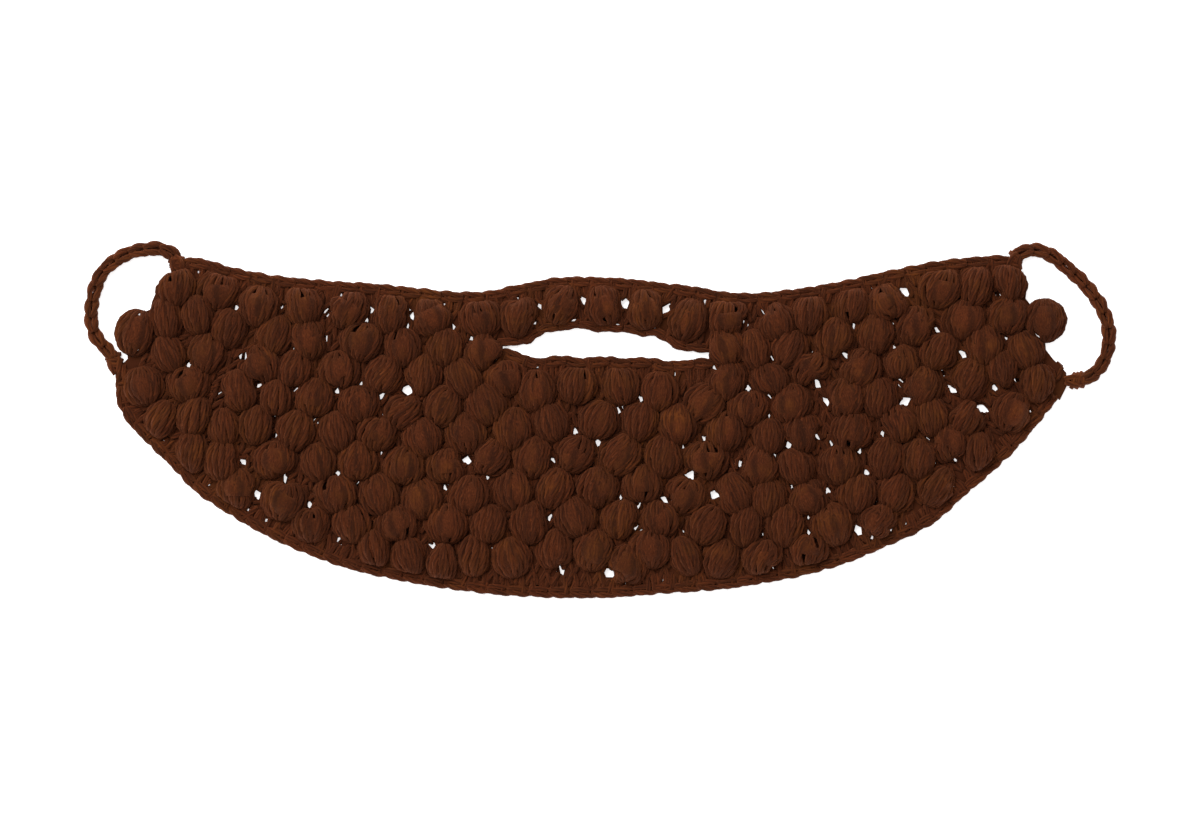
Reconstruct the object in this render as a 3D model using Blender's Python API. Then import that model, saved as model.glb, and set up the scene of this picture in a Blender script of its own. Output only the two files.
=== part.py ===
"""Crocheted bobble beard with two ear loops, lying flat, bobbles up. Metres, +Z up, +Y to its top edge."""

import math

import bmesh
import bpy
from mathutils import Matrix, Vector
from mathutils.geometry import delaunay_2d_cdt

# Overall form
FACE_WIDTH = 0.2945
BEARD_HEIGHT = 0.0995
GROUND_THICKNESS = 0.0034
CLEARANCE = 0.0003

# Bobble stitch
BOBBLE_PITCH = 0.0133
BOBBLE_START = 0.0022
ROW_PITCH = 0.0097
BOBBLE_HEIGHT = 0.0100
GAP_RADIUS = 0.0009
GAP_SHARE = 0.24

# Edging rows
EDGING_WIDTH = 0.0037
EDGING_HEIGHT = 0.0042
EDGING_STITCH = 0.0066
LIP_STRAND_WIDTH = 0.0029

# Mouth
MOUTH_WIDTH = 0.0651
MOUTH_OPENING = 0.0087
MOUSTACHE_BOBBLES = 5
MOUSTACHE_START = 0.44

# Side bobbles and ear loops
SIDE_BOBBLE_WIDTH = 0.0131
SIDE_BOBBLE_LENGTH = 0.0137
LOOP_CORD = 0.0048
LOOP_SIDES = 8

# Outer edges. across is a share of FACE_WIDTH from the middle, up is a share of BEARD_HEIGHT from the chin.
TOP_EDGE = (
    # across, up
    (-0.4242, 1.060),
    (-0.4105, 1.059),
    (-0.3968, 1.049),
    (-0.3684, 1.025),
    (-0.3053, 0.9969),
    (-0.2211, 0.9782),
    (-0.1263, 0.9533),
    (-0.0737, 0.9782),
    (-0.0316, 1),
    (0.0105, 1),
    (0.0526, 0.9907),
    (0.1053, 0.972),
    (0.1632, 0.9502),
    (0.2421, 0.9751),
    (0.3263, 1.028),
    (0.3789, 1.056),
    (0.4358, 1.069),
)
BOTTOM_EDGE = (
    # across, up
    (-0.4979, 0.7134),
    (-0.4989, 0.6417),
    (-0.4905, 0.5639),
    (-0.4653, 0.4798),
    (-0.4389, 0.405),
    (-0.4147, 0.3302),
    (-0.3768, 0.2555),
    (-0.3316, 0.1807),
    (-0.2642, 0.0997),
    (-0.1979, 0.053),
    (-0.1474, 0.028),
    (-0.0842, 0.0062),
    (0.0074, 0.000),
    (0.0737, 0.0125),
    (0.1579, 0.0343),
    (0.2421, 0.0826),
    (0.3084, 0.1558),
    (0.36, 0.2305),
    (0.3937, 0.3178),
    (0.4368, 0.4299),
    (0.4674, 0.5296),
    (0.4926, 0.6231),
)

# The panel's own edge between the two edging rows, from the top corner down, on each side of its side bobble
LEFT_SIDE_ABOVE = (
    # across, up
    (-0.4432, 1.008),
    (-0.4526, 0.9798),
    (-0.4595, 0.9517),
    (-0.4632, 0.9252),
    (-0.4647, 0.9019),
)
LEFT_SIDE_BELOW = (
    # across, up
    (-0.4887, 0.7480),
    (-0.4887, 0.7310),
)
RIGHT_SIDE_ABOVE = (
    # across, up
    (0.4526, 1.017),
    (0.4589, 0.9907),
    (0.4616, 0.9595),
    (0.4605, 0.9315),
)
RIGHT_SIDE_BELOW = (
    # across, up
    (0.4811, 0.7788),
    (0.4884, 0.7508),
    (0.4968, 0.7259),
    (0.5032, 0.704),
    (0.5037, 0.6573),
)
SIDE_BOBBLES = {
    # name: across, up, first and last angle in degrees of the panel's socket, going down the side
    "side_bobble_left": (-0.4768, 0.8255, 67.5, -112.5),
    "side_bobble_right": (0.4768, 0.8629, 135, 270),
}

# Mouth slit. along is a share of MOUTH_WIDTH from its left end, up of MOUTH_OPENING from the mouth line.
MOUTH_LEFT = -0.0937
MOUTH_LINE = 0.7695
MOUTH_UPPER = (
    # along, up
    (0.000, 0.14),
    (0.045, 0.16),
    (0.09, 0.21),
    (0.14, 0.23),
    (0.195, 0.62),
    (0.31, 0.71),
    (0.386, 0.84),
    (0.45, 0.66),
    (0.595, 0.66),
    (0.662, 0.5),
    (0.75, 0.48),
    (0.80, 0.16),
    (0.86, 0.00),
    (0.94, -0.06),
    (1, -0.08),
)
MOUTH_LOWER = (
    # along, up
    (0.000, 0.1),
    (0.04, 0.07),
    (0.09, -0.05),
    (0.145, -0.23),
    (0.21, -0.24),
    (0.287, -0.12),
    (0.36, -0.24),
    (0.5, -0.17),
    (0.57, -0.26),
    (0.695, -0.2),
    (0.779, -0.34),
    (0.87, -0.32),
    (0.93, -0.26),
    (1, -0.22),
)

# Ear loop routes, from the top corner round to the jaw, in the same shares as the outer edges
EAR_LOOPS = {
    "ear_loop_left": (
        # across, up
        (-0.4337, 1.0215),
        (-0.4337, 1.0436),
        (-0.4389, 1.0717),
        (-0.4526, 1.0888),
        (-0.4716, 1.0857),
        (-0.4874, 1.0717),
        (-0.5000, 1.0498),
        (-0.5105, 1.0234),
        (-0.5174, 0.9875),
        (-0.5216, 0.9439),
        (-0.5237, 0.9003),
        (-0.5237, 0.8598),
        (-0.5203, 0.8240),
        (-0.5145, 0.7980),
        (-0.5065, 0.7735),
        (-0.5005, 0.7492),
        (-0.4985, 0.7220),
    ),
    "ear_loop_right": (
        # across, up
        (0.4453, 1.0280),
        (0.4458, 1.0561),
        (0.4526, 1.0779),
        (0.4653, 1.0857),
        (0.4789, 1.0763),
        (0.4916, 1.0530),
        (0.5011, 1.0280),
        (0.5116, 1.0016),
        (0.5221, 0.9688),
        (0.5316, 0.9315),
        (0.5389, 0.8941),
        (0.5437, 0.8536),
        (0.5447, 0.8037),
        (0.5416, 0.7570),
        (0.5358, 0.7227),
        (0.5253, 0.6931),
        (0.5147, 0.6807),
        (0.5052, 0.6791),
    ),
}

# Gaps that stand open in the bobble fabric
WIDE_GAPS = (
    # across, up, size as a share of GAP_RADIUS, lean to the left of upright in degrees
    (-0.419, 1.008, 1.1, -60),
    (-0.353, 0.964, 1.2, 90),
    (-0.322, 0.902, 1.1, 0),
    (-0.276, 0.889, 1.4, 15),
    (-0.276, 0.808, 1.2, 30),
    (-0.229, 0.893, 1.1, 20),
    (-0.188, 0.883, 1.4, 20),
    (-0.365, 0.755, 1.6, 50),
    (-0.388, 0.631, 1.3, 85),
    (-0.331, 0.503, 1.1, 0),
    (-0.365, 0.428, 1.4, 40),
    (-0.320, 0.372, 1.4, 0),
    (-0.350, 0.322, 1.5, 25),
    (-0.314, 0.220, 1.1, 20),
    (-0.263, 0.179, 1.1, 20),
    (-0.192, 0.646, 1.9, 80),
    (-0.129, 0.431, 1.8, 70),
    (-0.165, 0.164, 1.1, 75),
    (-0.110, 0.375, 1.1, 90),
    (-0.042, 0.251, 1.2, 0),
    (-0.037, 0.431, 1.1, 80),
    (-0.031, 0.086, 1.5, 20),
    (0.020, 0.079, 1.8, 55),
    (0.050, 0.217, 1.2, 75),
    (0.080, 0.307, 1.4, 70),
    (0.107, 0.382, 1.7, 85),
    (0.130, 0.322, 1.6, 80),
    (0.157, 0.419, 1.2, 90),
    (0.089, 0.702, 1.3, 15),
    (0.164, 0.855, 1.1, 40),
    (0.181, 0.889, 1.0, 30),
    (0.238, 0.668, 1.7, 55),
    (0.249, 0.609, 1.5, 40),
    (0.240, 0.503, 1.4, 90),
    (0.268, 0.752, 1.4, 35),
    (0.317, 0.780, 1.2, 85),
    (0.330, 0.952, 1.7, 55),
    (0.363, 0.833, 1.2, 70),
    (0.391, 0.759, 1.6, 70),
    (0.381, 0.646, 1.7, 40),
    (0.412, 0.593, 2.0, 55),
    (0.426, 0.656, 1.3, 90),
    (0.448, 0.678, 1.1, 70),
    (0.331, 0.612, 1.6, -60),
    (0.308, 0.512, 1.2, 85),
    (0.357, 0.491, 1.1, 50),
    (0.291, 0.394, 1.3, -70),
    (0.250, 0.335, 1.2, -50),
    (0.393, 0.379, 1.4, -30),
    (0.282, 0.210, 1.7, 20),
)

# Shape of one bobble, as shares of BOBBLE_PITCH across and ROW_PITCH along
BOBBLE_REACH_ACROSS = 0.52
BOBBLE_REACH_ALONG = 0.77
DOME_RING_ACROSS = 0.27
DOME_RING_ALONG = 0.3645
DOME_SIDES = 6
DRIFT = 0.09
POINT_SPARE = 0.12

# Rim of the fabric, as shares of the dome's height and of ROW_PITCH
RIM_SHARE = 0.3
RIM_REACH = 0.35

# Rows of bobbles: room at a row's sides, pull of its end bobbles, and how finely a row is followed
MOUTH_ROW = 3
MOUTH_LIFT = 0.42
BORDER = 0.42
END_PULL = 0.4
ROW_SAMPLES = 600
LONGEST_JOIN = 1.5

# Filling: the free room that takes one more bobble, as a share of BOBBLE_PITCH, and the step of the search
FILL_ROOM = 0.60
FILL_STEP = 0.0020

# Settling: the room that a bobble keeps from a wide gap and from another bobble, as shares of BOBBLE_PITCH,
# and from the panel's edge, as a share of ROW_PITCH
SETTLING_STEPS = 6
GAP_ROOM = 0.44
BOBBLE_ROOM = 0.82
EDGE_ROOM = 0.46

# Shape of one gap, as shares of GAP_RADIUS, and its turn in radians
GAP_SIDES = 4
GAP_LENGTH = 1.5
GAP_UNEVENNESS = 0.3
GAP_TURN = 0.6
GAP_SPACING = 1.45
MOUSTACHE_GAP_SIZES = (1.0, 1.3, 1.7, 1.7)
MOUSTACHE_GAP_UP = 0.16

# Shape of one side bobble, as shares of its own width and of BOBBLE_HEIGHT
SIDE_BOBBLE_SIDES = 16
SIDE_BOBBLE_LEVELS = (
    # width, height
    (0.80, 0.00),
    (1.00, 0.32),
    (0.88, 0.68),
    (0.50, 0.94),
)

# Shape of one edging stitch, as shares of its length, width and height
STITCH_PHASES = (0.0, 0.28, 0.72)
JOINT_DIP = 0.16
JOINT_GAP = 0.28
JOINT_DROP = 0.16
STITCH_FOOT = 0.12
STITCH_SHOULDER = 0.28
STITCH_WAIST = 0.45

YARN = (0.095, 0.028, 0.012, 1.0)
EDGING_YARN = (0.105, 0.032, 0.014, 1.0)
CORD_YARN = (0.115, 0.036, 0.017, 1.0)
YARN_ROUGHNESS = 0.9
SHARP_ANGLE = math.radians(50)


def material(name, colour):
    made = bpy.data.materials.new(name)
    made.use_nodes = True
    shader = made.node_tree.nodes["Principled BSDF"]
    shader.inputs["Base Color"].default_value = colour
    shader.inputs["Roughness"].default_value = YARN_ROUGHNESS
    shader.inputs["Metallic"].default_value = 0.0
    return made


def on_face(across, up):
    """The place that the shares of the face's width and the beard's height give."""
    return Vector((across * FACE_WIDTH, up * BEARD_HEIGHT))


def in_mouth(along, up):
    """The place that the shares of the mouth's width and opening give."""
    corner = on_face(MOUTH_LEFT, MOUTH_LINE)
    return corner + Vector((along * MOUTH_WIDTH, up * MOUTH_OPENING))


def smooth_line(points, steps=8):
    """A Catmull-Rom curve through the points, as a fine polyline."""
    ends = [2 * points[0] - points[1], *points, 2 * points[-1] - points[-2]]
    line = []
    for before, start, end, after in zip(ends, ends[1:], ends[2:], ends[3:]):
        for step in range(steps):
            t = step / steps
            bend = 2 * before - 5 * start + 4 * end - after
            twist = 3 * start - before - 3 * end + after
            line.append(0.5 * (2 * start + (end - before) * t + bend * t**2 + twist * t**3))
    return [*line, points[-1]]


def line_length(line):
    return sum((b - a).length for a, b in zip(line, line[1:]))


def at_shares(line, shares):
    """Each point that lies a share of the way along the line, with the line's direction there."""
    total = line_length(line)
    found = []
    piece = 0
    passed = 0.0
    for share in shares:
        wanted = share * total
        while piece < len(line) - 2 and passed + (line[piece + 1] - line[piece]).length < wanted:
            passed += (line[piece + 1] - line[piece]).length
            piece += 1
        step = line[piece + 1] - line[piece]
        found.append((line[piece] + step.normalized() * (wanted - passed), step.normalized()))
    return found


def evenly(line, spacing):
    """The line again, as points about one spacing apart."""
    count = max(1, round(line_length(line) / spacing))
    return [point for point, _ in at_shares(line, [i / count for i in range(count + 1)])]


def moved_left(line, distance):
    """The line moved sideways, to the left of its own direction."""
    moved = []
    for i, point in enumerate(line):
        before = line[max(i - 1, 0)]
        after = line[min(i + 1, len(line) - 1)]
        heading = (after - before).normalized()
        moved.append(point + distance * Vector((-heading.y, heading.x)))
    return moved


def lengthened(line, distance):
    """The line, longer by a distance at each end."""
    before = line[0] + (line[0] - line[1]).normalized() * distance
    after = line[-1] + (line[-1] - line[-2]).normalized() * distance
    return [before, *line[1:-1], after]


def line_height(line, x):
    """The line's y at x, for a line that runs from left to right."""
    for a, b in zip(line, line[1:]):
        if a.x <= x <= b.x:
            return a.y + (b.y - a.y) * (x - a.x) / max(b.x - a.x, 1e-9)
    return line[0].y if x < line[0].x else line[-1].y


def between(line, x_from, x_to):
    """The part of a left-to-right line between two x values, with its ends on them."""
    inner = [point for point in line if x_from < point.x < x_to]
    first = Vector((x_from, line_height(line, x_from)))
    last = Vector((x_to, line_height(line, x_to)))
    return [first, *inner, last]


def inside(point, ring):
    """Whether the point lies inside the closed ring."""
    found = False
    for a, b in zip(ring, [*ring[1:], ring[0]]):
        if (a.y > point.y) != (b.y > point.y):
            if point.x < a.x + (b.x - a.x) * (point.y - a.y) / (b.y - a.y):
                found = not found
    return found


def depth_in(point, ring):
    """How far inside the ring the point lies, or a negative number outside it."""
    nearest = math.inf
    for a, b in zip(ring, [*ring[1:], ring[0]]):
        side = b - a
        t = max(0.0, min(1.0, (point - a).dot(side) / max(side.length_squared, 1e-12)))
        nearest = min(nearest, (point - a - side * t).length)
    return nearest if inside(point, ring) else -nearest


def drift(row, place, salt):
    """A repeatable number from -1 to 1, for the small unevenness of handwork."""
    mixed = math.sin(row * 12.9898 + place * 78.233 + salt * 37.719) * 43758.5453
    return 2.0 * (mixed - math.floor(mixed)) - 1.0


def top_edge():
    return smooth_line([on_face(*row) for row in TOP_EDGE])


def bottom_edge():
    return smooth_line([on_face(*row) for row in BOTTOM_EDGE])


def upper_lip():
    return smooth_line([in_mouth(*row) for row in MOUTH_UPPER])


def lower_lip():
    """The slit's lower edge, kept a clearance under its upper edge."""
    upper = upper_lip()
    line = smooth_line([in_mouth(*row) for row in MOUTH_LOWER])
    return [Vector((p.x, min(p.y, line_height(upper, p.x) - CLEARANCE))) for p in line]


def side_ring(name, grow=0.0):
    """The outline of a side bobble, as sides of one angle each, from straight right and turning left."""
    across, up, _, _ = SIDE_BOBBLES[name]
    centre = on_face(across, up)
    ring = []
    for i in range(SIDE_BOBBLE_SIDES):
        angle = 2 * math.pi * i / SIDE_BOBBLE_SIDES
        reach = Vector((SIDE_BOBBLE_WIDTH / 2 * math.cos(angle), SIDE_BOBBLE_LENGTH / 2 * math.sin(angle)))
        ring.append(centre + reach + reach.normalized() * grow)
    return ring


def socket(name):
    """The panel's hollow edge round a side bobble, in order down the side."""
    _, _, first, last = SIDE_BOBBLES[name]
    ring = side_ring(name, grow=CLEARANCE / math.cos(math.pi / SIDE_BOBBLE_SIDES))
    step = 360 / SIDE_BOBBLE_SIDES
    turn = 1 if last > first else -1
    places = range(round(first / step), round(last / step) + turn, turn)
    return [ring[i % SIDE_BOBBLE_SIDES] for i in places]


def panel_ring():
    """The outline of the cheeks and chin, counter-clockwise from the left top corner's jaw side."""
    spacing = EDGING_STITCH / 2
    seam = EDGING_WIDTH + CLEARANCE
    left_end = in_mouth(0, 0).x - CLEARANCE
    right_end = in_mouth(1, 0).x + CLEARANCE
    top = moved_left(top_edge(), -seam)
    lip = moved_left(lower_lip(), -seam)
    lip = [Vector((left_end, lip[0].y)), *lip[1:-1], Vector((right_end, lip[-1].y))]
    left_side = [on_face(*row) for row in LEFT_SIDE_ABOVE]
    left_side += socket("side_bobble_left")
    left_side += [on_face(*row) for row in LEFT_SIDE_BELOW]
    right_side = [on_face(*row) for row in RIGHT_SIDE_ABOVE]
    right_side += socket("side_bobble_right")
    right_side += [on_face(*row) for row in RIGHT_SIDE_BELOW]
    edge = lengthened(bottom_edge(), CLEARANCE)
    jaw = [*evenly(moved_left(edge, seam), spacing), edge[-1]]
    right_cheek = evenly(between(top, right_end, top[-1].x), spacing)
    left_cheek = evenly(between(top, top[0].x, left_end), spacing)
    ring = [*jaw, *reversed(right_side), *reversed(right_cheek)]
    ring += [*reversed(evenly(lip, spacing)), *reversed(left_cheek), *left_side]
    return ring


def moustache_ring():
    """The outline of the band over the mouth, counter-clockwise."""
    spacing = EDGING_STITCH / 2
    left_end = in_mouth(0, 0).x
    right_end = in_mouth(1, 0).x
    top = between(moved_left(top_edge(), -EDGING_WIDTH - CLEARANCE), left_end, right_end)
    strand = moved_left(upper_lip(), LIP_STRAND_WIDTH + CLEARANCE)
    foot = [Vector((left_end, strand[0].y)), *strand[1:-1], Vector((right_end, strand[-1].y))]
    return [*evenly(foot, spacing), *reversed(evenly(top, spacing))]


def row_spans(row_line, ring):
    """The stretches of a row that lie deep enough in the panel for a bobble, as pairs of x values."""
    spans = []
    for point in row_line:
        if depth_in(point, ring) < BORDER * ROW_PITCH:
            continue
        if spans and point.x - spans[-1][1] < 1.5 * FACE_WIDTH / ROW_SAMPLES:
            spans[-1][1] = point.x
        else:
            spans.append([point.x, point.x])
    return spans


def bobble_places(start, end, stagger):
    """The x of each bobble in a span: on the staggered lattice, and pulled to the span's two ends."""
    first = math.ceil((start - BOBBLE_START) / BOBBLE_PITCH - stagger - END_PULL)
    last = math.floor((end - BOBBLE_START) / BOBBLE_PITCH - stagger + END_PULL)
    lattice = [BOBBLE_START + (i + stagger) * BOBBLE_PITCH for i in range(first, last + 1)]
    if len(lattice) < 2:
        return [(start + end) / 2]
    middle = (start + end) / 2
    places = []
    for x in lattice:
        if x < middle:
            pull = (start - lattice[0]) * ((middle - x) / (middle - lattice[0])) ** 3
        else:
            pull = (end - lattice[-1]) * ((x - middle) / (lattice[-1] - middle)) ** 3
        places.append(x + pull)
    return places


def mouth_lift(row, rows, x):
    """How far a row is raised towards the lower lip: most in the first row under it, nothing in the last."""
    off = abs(x - in_mouth(0.5, 0).x) / MOUTH_WIDTH
    if row < MOUTH_ROW or off > 1:
        return 0.0
    share = 1.0 - (row - MOUTH_ROW) / (rows - MOUTH_ROW)
    return MOUTH_LIFT * ROW_PITCH * share * math.cos(math.pi / 2 * off) ** 2


def panel_bobbles(ring):
    """The middles of the panel's bobbles: rows that follow the top edge at first and then level out."""
    edge = top_edge()
    crown = on_face(0, 1).y
    rows = int(BEARD_HEIGHT / ROW_PITCH)
    first_row = EDGING_WIDTH + ROW_PITCH / 2
    across = [FACE_WIDTH * (i / ROW_SAMPLES - 0.5) for i in range(ROW_SAMPLES + 1)]
    centres = []
    for row in range(rows):
        bend = 1.0 - row / rows
        level = crown - first_row - row * ROW_PITCH
        row_line = [
            Vector((x, level + bend * (line_height(edge, x) - crown) + mouth_lift(row, rows, x)))
            for x in across
        ]
        for start, end in row_spans(row_line, ring):
            for x in bobble_places(start, end, 0.5 * (row % 2)):
                y = line_height(row_line, x)
                x += DRIFT * BOBBLE_PITCH * drift(row, x / BOBBLE_PITCH, 1)
                y += DRIFT * ROW_PITCH * drift(row, x / BOBBLE_PITCH, 2)
                centres.append(Vector((x, y)))
    return centres


def moustache_bobbles(ring):
    """The middles of the moustache's bobbles, evenly along the band."""
    left_end = min(point.x for point in ring)
    right_end = max(point.x for point in ring)
    centres = []
    for i in range(MOUSTACHE_BOBBLES):
        x = left_end + (right_end - left_end) * (i + MOUSTACHE_START) / MOUSTACHE_BOBBLES
        crossings = band_at(ring, x)
        centres.append(Vector((x, (crossings[0] + crossings[-1]) / 2)))
    return centres


def band_at(ring, x):
    """Each y where the ring crosses x, lowest first."""
    found = []
    for a, b in zip(ring, [*ring[1:], ring[0]]):
        if (a.x > x) != (b.x > x):
            found.append(a.y + (b.y - a.y) * (x - a.x) / (b.x - a.x))
    return sorted(found)


def joins(centres):
    """Where three bobbles meet, and the crease between each two, from a triangulation of their middles."""
    flat = delaunay_2d_cdt(centres, [], [], 0, 1e-7)
    longest = LONGEST_JOIN * max(BOBBLE_PITCH, ROW_PITCH)
    corners = []
    creases = {}
    for face in flat[2]:
        points = [centres[i] for i in face]
        sides = [(points[i] - points[i - 1]).length for i in range(3)]
        if max(sides) > longest:
            continue
        corners.append(sum(points, Vector((0, 0))) / 3)
        for i in range(3):
            pair = tuple(sorted((face[i], face[i - 1])))
            creases[pair] = (centres[pair[0]] + centres[pair[1]]) / 2
    return corners, [creases[pair] for pair in sorted(creases)]


def gap_ring(centre, radius, turn):
    """A small slit-like opening between stitches."""
    ring = []
    for i in range(GAP_SIDES):
        angle = 2 * math.pi * i / GAP_SIDES
        reach = Vector((radius * math.cos(angle), GAP_LENGTH * radius * math.sin(angle)))
        reach.rotate(Matrix.Rotation(turn, 2))
        ring.append(centre + reach)
    return ring


def wide_gaps():
    """The place, size and turn of each gap that stands open."""
    return [(on_face(across, up), size, math.radians(lean)) for across, up, size, lean in WIDE_GAPS]


def filled(centres, ring):
    """The bobbles again, with more of them wherever the rows leave room for one, the widest room first."""
    steps_across = round(FACE_WIDTH / FILL_STEP)
    steps_up = round(1.2 * BEARD_HEIGHT / FILL_STEP)
    spots = [
        Vector(((i - steps_across / 2) * FILL_STEP, j * FILL_STEP))
        for i in range(steps_across + 1)
        for j in range(steps_up + 1)
    ]
    spots = [spot for spot in spots if depth_in(spot, ring) > EDGE_ROOM * ROW_PITCH]
    rooms = [min((spot - centre).length for centre in centres) for spot in spots]
    made = list(centres)
    while max(rooms) > FILL_ROOM * BOBBLE_PITCH:
        chosen = spots[rooms.index(max(rooms))]
        made.append(chosen)
        rooms = [min(room, (spot - chosen).length) for spot, room in zip(spots, rooms)]
    return made


def settled(centres, ring):
    """The bobbles again, moved aside by the wide gaps, by each other and by the panel's edge."""
    for _ in range(SETTLING_STEPS):
        moved = []
        for centre in centres:
            push = Vector((0, 0))
            for place_of_gap, size, _ in wide_gaps():
                push += pushed(centre, place_of_gap, GAP_ROOM * BOBBLE_PITCH + size * GAP_RADIUS / 2)
            for other in centres:
                if other is not centre:
                    push += pushed(centre, other, BOBBLE_ROOM * BOBBLE_PITCH) / 2
            if depth_in(centre, ring) < EDGE_ROOM * ROW_PITCH:
                push += pushed(centre, nearest_on(ring, centre), EDGE_ROOM * ROW_PITCH)
            moved.append(centre + push / 2)
        centres = moved
    return [centre for centre in centres if depth_in(centre, ring) > EDGE_ROOM * ROW_PITCH / 2]


def nearest_on(ring, point):
    """The ring's nearest place to a point."""
    found = []
    for a, b in zip(ring, [*ring[1:], ring[0]]):
        side = b - a
        t = max(0.0, min(1.0, (point - a).dot(side) / max(side.length_squared, 1e-12)))
        found.append(a + side * t)
    return min(found, key=lambda place: (point - place).length)


def pushed(point, other, room):
    """The move that takes a point to a distance from another, or none where it is that far off."""
    away = point - other
    if away.length >= room:
        return Vector((0, 0))
    return away.normalized() * (room - away.length)


def panel_gaps(corners, ring):
    """The openings: the wide ones, and smaller ones at a share of the corners between them."""
    wanted = wide_gaps()
    for i, corner in enumerate(corners):
        if drift(i, 3, 5) < 2 * GAP_SHARE - 1:
            wanted.append((corner, 1.0 + GAP_UNEVENNESS * drift(i, 7, 2), GAP_TURN * drift(i, 1, 9)))
    gaps = []
    taken = []
    for centre, size, turn in wanted:
        radius = size * GAP_RADIUS
        if depth_in(centre, ring) < GAP_LENGTH * radius + GAP_RADIUS:
            continue
        if any((centre - other).length < GAP_SPACING * (radius + reach) for other, reach in taken):
            continue
        taken.append((centre, radius))
        gaps.append(gap_ring(centre, radius, turn))
    return gaps


def moustache_gaps(centres):
    """An opening between each two bobbles."""
    gaps = []
    for i, (a, b) in enumerate(zip(centres, centres[1:])):
        place_of_gap = (a + b) / 2 + Vector((0, MOUSTACHE_GAP_UP * ROW_PITCH))
        size = MOUSTACHE_GAP_SIZES[i % len(MOUSTACHE_GAP_SIZES)]
        gaps.append(gap_ring(place_of_gap, size * GAP_RADIUS, GAP_TURN * drift(i, 2, 4)))
    return gaps


def fabric_height(point, centres, outline):
    """The height of the upper face at a point: a dome over each bobble, and rounded-off rims."""
    nearest = 1.0
    for centre in centres:
        across = (point.x - centre.x) / (BOBBLE_REACH_ACROSS * BOBBLE_PITCH)
        along = (point.y - centre.y) / (BOBBLE_REACH_ALONG * ROW_PITCH)
        nearest = min(nearest, math.hypot(across, along))
    rim = min(1.0, RIM_SHARE + depth_in(point, outline) / (RIM_REACH * ROW_PITCH))
    return GROUND_THICKNESS + (BOBBLE_HEIGHT - GROUND_THICKNESS) * rim * math.sqrt(1.0 - nearest**2)


def triangles(points, rings, outline, holes):
    """The triangles inside the outline and outside the holes, which keep every side of the rings."""
    sides = []
    corners = []
    for ring in rings:
        start = len(corners)
        corners += ring
        sides += [(start + i, start + (i + 1) % len(ring)) for i in range(len(ring))]
    found, _, faces, _, _, _ = delaunay_2d_cdt(corners + points, sides, [], 0, 1e-7)
    kept = []
    for face in faces:
        middle = sum((found[i] for i in face), Vector((0, 0))) / 3
        if inside(middle, outline) and not any(inside(middle, hole) for hole in holes):
            kept.append(face)
    return found, kept


def dome_points(centres):
    """Points that carry each bobble's form: its top and a ring round it."""
    points = []
    for centre in centres:
        points.append(centre)
        for i in range(DOME_SIDES):
            angle = 2 * math.pi * (i + 0.5) / DOME_SIDES
            reach_across = DOME_RING_ACROSS * BOBBLE_PITCH * math.cos(angle)
            reach_along = DOME_RING_ALONG * ROW_PITCH * math.sin(angle)
            points.append(centre + Vector((reach_across, reach_along)))
    return points


def clear_of(point, outline, holes):
    """Whether the point lies inside the outline and outside the holes, with room to spare."""
    spare = POINT_SPARE * BOBBLE_PITCH
    if depth_in(point, outline) < spare:
        return False
    return all(depth_in(point, hole) < -spare / 2 for hole in holes)


def fabric(name, outline, centres, extra, holes, finish):
    """Bobble fabric as one closed solid: domed above, flat below, open through each hole."""
    wanted = dome_points(centres) + extra
    points = [point for point in wanted if clear_of(point, outline, holes)]
    rings = [outline, *holes]
    over, over_faces = triangles(points, rings, outline, holes)
    under, under_faces = triangles([], rings, outline, holes)
    mesh = bmesh.new()
    upper = [mesh.verts.new((p.x, p.y, fabric_height(p, centres, outline))) for p in over]
    lower = {place(p): mesh.verts.new((p.x, p.y, 0.0)) for p in under}
    for face in over_faces:
        mesh.faces.new([upper[i] for i in face])
    rims = [edge for edge in mesh.edges if edge.is_boundary]
    for face in under_faces:
        mesh.faces.new([lower[place(under[i])] for i in reversed(face)])
    for edge in rims:
        a, b = edge.verts
        mesh.faces.new((a, b, lower[place(b.co)], lower[place(a.co)]))
    loose = [vertex for vertex in mesh.verts if not vertex.link_faces]
    bmesh.ops.delete(mesh, geom=loose, context="VERTS")
    return finished(name, mesh, finish)


def place(point):
    """The point's x and y as a key."""
    return round(point.x, 6), round(point.y, 6)


def finished(name, mesh, finish):
    """An object of its own from the mesh, with its faces turned outwards."""
    bmesh.ops.triangulate(mesh, faces=mesh.faces[:])
    bmesh.ops.recalc_face_normals(mesh, faces=mesh.faces[:])
    data = bpy.data.meshes.new(name)
    mesh.to_mesh(data)
    mesh.free()
    data.shade_smooth()
    data.set_sharp_from_angle(angle=SHARP_ANGLE)
    data.materials.append(finish)
    made = bpy.data.objects.new(name, data)
    bpy.context.scene.collection.objects.link(made)
    return made


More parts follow.
